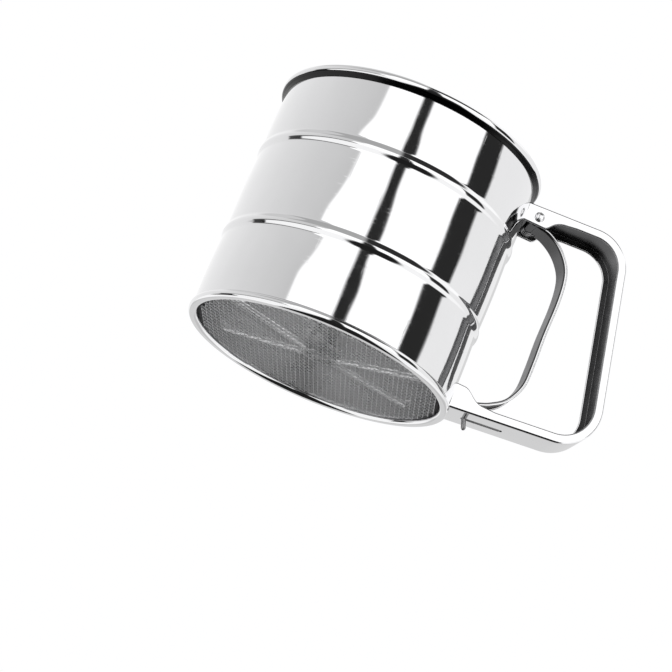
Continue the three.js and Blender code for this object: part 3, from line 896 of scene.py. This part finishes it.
def pivot_stack():
    """The rivet under the bridge, its washers and its spacer tube."""
    top = BRIDGE_LOW + BRIDGE_THICK + 0.1
    rivet = [
        (0, 2.3), (3.2, 2.3), (3.5, 2.45), (3.6, 2.75), (3.5, 3.1), (POST_RADIUS, 3.2),
        (POST_RADIUS, top), (3.8, top), (3.9, top + 0.3), (3.6, top + 0.9), (2.7, top + 1.45),
        (1.4, top + 1.75), (0, top + 1.85),
    ]
    piece = turned("pivot_rivet", rivet, 96, closed=False)
    finish_piece(piece, "cup", PLAIN, "plain_steel", "pivot_post")
    for name, node, outer in (
        ("washer_lower", "pivot_washer_lower", 4.4),
        ("washer_upper", "pivot_washer_upper", 4.2),
        ("spacer_tube", "pivot_spacer", 3.4),
    ):
        low, high = span(node)[0].z, span(node)[1].z
        outline = fillet(rectangle(POST_RADIUS + 0.1, outer, low, high), 0.12, 4)
        piece = even_normals(turned(name, outline, 96))
        finish_piece(piece, "cup", PLAIN, "plain_steel", node)


def bridge_strip():
    """A flat bar bent up at both ends, where it is welded to the wall."""
    low, high = span("bridge_bar")
    reach = WALL_RADIUS - SHEET - 0.05
    under = [(-reach, high.z), (-reach, low.z), (reach, low.z), (reach, high.z)]
    line = fillet(under, [0, 2.2, 2.2, 0], 10, closed=False)
    inset = reach - BRIDGE_THICK
    raised = low.z + BRIDGE_THICK
    over = [(-inset, high.z), (-inset, raised), (inset, raised), (inset, high.z)]
    inner = fillet(over, [0, 1.0, 1.0, 0], 10, closed=False)
    outline = line + inner[::-1]
    half = BRIDGE_WIDTH / 2
    points, faces = prism_mesh(outline, -half, half)
    points = [(p[2], p[0], p[1]) for p in points]
    piece = build("bridge_strip", points, faces)
    cut(piece, prism_mesh(circle(POST_RADIUS + 0.1, 48), BRIDGE_LOW - 1, BRIDGE_LOW + 3))
    return finish_piece(bevelled(piece, 0.2), "cup", PLAIN, "plain_steel", "bridge_bar")


# ---------------------------------------------------------------- studio and camera
# The photo's camera, fitted to points read off the object's outlines: angles in degrees,
# distance in metres, lens in millimetres on a sensor of 36.
CAMERA_AZIMUTH = -5.39
CAMERA_ELEVATION = -16.48
CAMERA_ROLL = 23.09
CAMERA_DISTANCE = 0.75537
CAMERA_LENS = 112.5
SENSOR = 36
CAMERA_SHIFT = (0.0294, 0.0420)


def camera_axes():
    az, el = math.radians(CAMERA_AZIMUTH), math.radians(CAMERA_ELEVATION)
    back = Vector((math.sin(az) * math.cos(el), -math.cos(az) * math.cos(el), math.sin(el)))
    right = Vector((math.cos(az), math.sin(az), 0))
    return back, right, back.cross(right)


def camera():
    back, right, up = camera_axes()
    roll = math.radians(CAMERA_ROLL)
    across = math.cos(roll) * right + math.sin(roll) * up
    above = -math.sin(roll) * right + math.cos(roll) * up
    data = bpy.data.cameras.new("camera")
    data.lens = CAMERA_LENS
    data.sensor_width = SENSOR
    data.shift_x, data.shift_y = CAMERA_SHIFT
    data.clip_start = 0.01
    eye = bpy.data.objects.new("camera", data)
    bpy.context.collection.objects.link(eye)
    turn = Matrix((across, above, back)).transposed().to_4x4()
    eye.matrix_world = Matrix.Translation(AXIS + back * CAMERA_DISTANCE) @ turn
    bpy.context.scene.camera = eye


# The surroundings that the steel reflects. They are fixed in the world. Angles are degrees to the
# right of the camera, seen from the object, heights are parts of a unit direction, and a patch
# is given by its reach to the camera's right, its reach towards the camera and its brightness.
WHITE_WALL = 1.3
GREY_WALL = (1.05, 0.65)  # on the left: its brightness straight behind the object and at its edge
GREY_EDGE = -40
DARK_STRIP = (-4.2, 5.0)
DARK_FLAT = (58.4, 80.6)
DARK_WALL = 0.025
RIGHT_WALL = 0.96
BACK_RIGHT_EDGE = 155
BACK_RIGHT = 0.72
EDGE_BLUR = 1.0
LOW_DOWN = (0.40, 0.28)  # below these heights the grey edge leans and the dark strip widens
LEAN_LEFT = math.radians(7.5)
LEAN_AROUND = (math.radians(-60), math.radians(-22), math.radians(16))
WIDEN_STRIP = math.radians(3.5)
WIDEN_AROUND = (math.radians(3), math.radians(14), math.radians(3))
WOBBLE = 0.12  # how uneven the walls' edges are, in radians
LEFT_BAND_HEIGHTS = (-0.2, -0.02)
LEFT_BAND_ANGLES = (math.radians(-105), math.radians(-35))
LEFT_BAND = 0.1

CEILING = 1.15
CEILING_STARTS = (0.60, 0.68)
CEILING_PATCHES = (
    ((-1.0, -0.05), (-1.0, 0.02), 0.68),
    ((-1.0, -0.05), (0.02, 0.75), 0.45),
    ((-0.05, 0.58), (0.02, 0.75), 0.03),
)
GROUND = 1.1
GROUND_STARTS = (-0.10, -0.22)
GROUND_BEHIND = ((-0.5, 0.7), (-1.0, -0.4), 0.62)
GROUND_LEFT = ((-1.1, -0.86), (-0.50, -0.04), 0.015)
DARK_OVAL = 0.015
OVAL_ASIDE = (0.08, 0.52)  # middle and half-width
OVAL_TOWARD = (0.25, 0.80)


def wall_stops():
    """The walls as (angle, brightness), with a short blend at every edge."""
    edges = (
        (GREY_EDGE, GREY_WALL[1], WHITE_WALL),
        (DARK_STRIP[0], WHITE_WALL, DARK_WALL),
        (DARK_STRIP[1], DARK_WALL, WHITE_WALL),
        (DARK_FLAT[0], WHITE_WALL, DARK_WALL),
        (DARK_FLAT[1], DARK_WALL, RIGHT_WALL),
        (BACK_RIGHT_EDGE, RIGHT_WALL, BACK_RIGHT),
    )
    stops = [(-180, GREY_WALL[0])]
    for edge, before, after in edges:
        stops += [(edge - EDGE_BLUR, before), (edge + EDGE_BLUR, after)]
    return stops + [(180, BACK_RIGHT)]


def inside(tree, value, low, high, soft):
    """1 where the value lies between low and high, 0 outside, with soft edges."""
    rising = smooth_step(tree, value, low - soft, low + soft)
    falling = smooth_step(tree, value, high - soft, high + soft)
    return maths(tree, "MULTIPLY", rising, maths(tree, "SUBTRACT", 1.0, falling))


def blend_value(tree, share, first, second):
    inputs = {0: share, 2: first, 3: second}
    return wire_up(tree, "ShaderNodeMix", inputs, data_type="FLOAT").outputs[0]


def patch(tree, x, x_range, y, y_range, soft, bright, value):
    """Brings a rectangle of the studio, seen from the object, to a brightness."""
    across = inside(tree, x, *x_range, soft)
    along = inside(tree, y, *y_range, soft)
    return blend_value(tree, maths(tree, "MULTIPLY", across, along), bright, value)


def from_middle(tree, value, middle, half):
    """The square of a value's distance from a middle, 1 at half."""
    distance = maths(tree, "DIVIDE", maths(tree, "SUBTRACT", value, middle), half)
    return maths(tree, "MULTIPLY", distance, distance)


def along_axis(tree, direction, axis):
    inputs = {0: direction, 1: axis}
    node = wire_up(tree, "ShaderNodeVectorMath", inputs, operation="DOT_PRODUCT")
    return node.outputs["Value"]


def wall_angle(tree, direction, toward, aside, height):
    """The angle to the camera's right, bent so that the walls' edges aren't quite straight."""
    wobble = maths(tree, "SUBTRACT", noise(tree, direction, 3.5, 2.0, 0.5), 0.5)
    angle = maths(tree, "ARCTAN2", aside, toward)
    angle = maths(tree, "ADD", angle, maths(tree, "MULTIPLY", wobble, WOBBLE))
    low = smooth_step(tree, height, *LOW_DOWN)
    on_left = inside(tree, angle, *LEAN_AROUND)
    on_strip = inside(tree, angle, *WIDEN_AROUND)
    leaning = maths(tree, "MULTIPLY", on_left, LEAN_LEFT)
    lean = maths(tree, "MULTIPLY", maths(tree, "SUBTRACT", low, 0.5), leaning)
    widen = maths(tree, "MULTIPLY", low, maths(tree, "MULTIPLY", on_strip, WIDEN_STRIP))
    return maths(tree, "ADD", angle, maths(tree, "SUBTRACT", lean, widen))


def wall_brightness(tree, angle, height):
    ramp = wire_up(tree, "ShaderNodeValToRGB", {0: remap(tree, angle, -math.pi, math.pi, 0.0, 1.0)})
    stops = ramp.color_ramp.elements
    walls_at = wall_stops()
    while len(stops) < len(walls_at):
        stops.new(0.5)
    for stop, (degrees, value) in zip(stops, walls_at):
        stop.position = (degrees + 180) / 360
        stop.color = grey(value)
    walls = wire_up(tree, "ShaderNodeSeparateColor", {0: ramp.outputs[0]}).outputs[0]
    return patch(tree, height, LEFT_BAND_HEIGHTS, angle, LEFT_BAND_ANGLES, 0.03, walls, LEFT_BAND)


def ceiling_brightness(tree, toward, aside):
    above = CEILING
    for x_range, y_range, value in CEILING_PATCHES:
        above = patch(tree, aside, x_range, toward, y_range, 0.05, above, value)
    return above


def ground_brightness(tree, toward, aside):
    x_range, y_range, value = GROUND_BEHIND
    below = patch(tree, aside, x_range, toward, y_range, 0.1, GROUND, value)
    across = from_middle(tree, aside, *OVAL_ASIDE)
    along = from_middle(tree, toward, *OVAL_TOWARD)
    in_oval = smooth_step(tree, maths(tree, "ADD", across, along), 1.15, 0.9)
    below = blend_value(tree, in_oval, below, DARK_OVAL)
    x_range, y_range, value = GROUND_LEFT
    return patch(tree, aside, x_range, toward, y_range, 0.02, below, value)


def studio_world():
    """A white studio with the dark things that the mirror finish shows: a strip and a wide flat on
    its walls and a low band on their left, a dark rectangle overhead, and a dark oval and a small
    dark patch below. The camera itself sees plain white."""
    world = bpy.data.worlds.new("studio")
    bpy.context.scene.world = world
    world.use_nodes = True
    tree = world.node_tree
    tree.nodes.clear()
    direction = wire_up(tree, "ShaderNodeTexCoord").outputs["Generated"]
    back, right, _ = camera_axes()
    toward = along_axis(tree, direction, Vector((back.x, back.y, 0)).normalized())
    aside = along_axis(tree, direction, right)
    height = wire_up(tree, "ShaderNodeSeparateXYZ", {0: direction}).outputs[2]

    walls = wall_brightness(tree, wall_angle(tree, direction, toward, aside, height), height)
    above = ceiling_brightness(tree, toward, aside)
    below = ground_brightness(tree, toward, aside)
    bright = blend_value(tree, smooth_step(tree, height, *CEILING_STARTS), walls, above)
    bright = blend_value(tree, smooth_step(tree, height, *GROUND_STARTS), bright, below)

    lit = wire_up(tree, "ShaderNodeBackground", {"Color": bright, "Strength": 1.0})
    plain = wire_up(tree, "ShaderNodeBackground", {"Color": grey(1.0), "Strength": 1.0})
    seen = wire_up(tree, "ShaderNodeLightPath").outputs["Is Camera Ray"]
    both = wire_up(tree, "ShaderNodeMixShader", {0: seen, 1: lit.outputs[0], 2: plain.outputs[0]})
    wire_up(tree, "ShaderNodeOutputWorld", {"Surface": both.outputs[0]})


FLOOR_HALF = 4.0  # metres
FLOOR_HEIGHT = -1.0  # far enough below to leave the view from under the cup free
FLOOR_TONES = (0.78, 0.82)
KEY_PLACE = (-0.8, -0.6, 1.2)
KEY_SIZE = (1.2, 1.0)
KEY_POWER = 12


def floor():
    mesh = bpy.data.meshes.new("floor")
    square = rectangle(-FLOOR_HALF, FLOOR_HALF, -FLOOR_HALF, FLOOR_HALF)
    mesh.from_pydata([(x, y, FLOOR_HEIGHT) for x, y in square], [], [(0, 1, 2, 3)])
    plane = bpy.data.objects.new("floor", mesh)
    bpy.context.collection.objects.link(plane)
    material = bpy.data.materials.new("floor_paint")
    material.use_nodes = True
    tree = material.node_tree
    shader = tree.nodes["Principled BSDF"]
    where = wire_up(tree, "ShaderNodeTexCoord").outputs["Object"]
    mottle = noise(tree, where, 3.0, 4.0)
    tones = {0: mottle, 6: grey(FLOOR_TONES[0]), 7: grey(FLOOR_TONES[1])}
    tone = wire_up(tree, "ShaderNodeMix", tones, data_type="RGBA").outputs[2]
    tree.links.new(tone, shader.inputs["Base Color"])
    shader.inputs["Roughness"].default_value = 0.7
    mesh.materials.append(material)
    plane.visible_glossy = False


def soft_light(name, place, size, power):
    data = bpy.data.lights.new(name, "AREA")
    data.shape = "RECTANGLE"
    data.size, data.size_y = size
    data.energy = power
    lamp = bpy.data.objects.new(name, data)
    bpy.context.collection.objects.link(lamp)
    lamp.location = place
    lamp.visible_glossy = False
    lamp.rotation_euler = (AXIS - Vector(place)).to_track_quat("-Z", "Y").to_euler()


# ---------------------------------------------------------------- assembly
cup_shell()
clamp_ring()
woven_mesh()
strap_handle()
weld_tabs()
squeeze_trigger()
rivet_pin()
pin_spacer()
torsion_spring()
bent_rod()
guide_eyelet()
agitator_arms()
hub_disc()
crank_lug()
pivot_stack()
bridge_strip()

camera()
studio_world()
floor()
soft_light("key", KEY_PLACE, KEY_SIZE, KEY_POWER)
bpy.context.scene.view_settings.view_transform = "Standard"
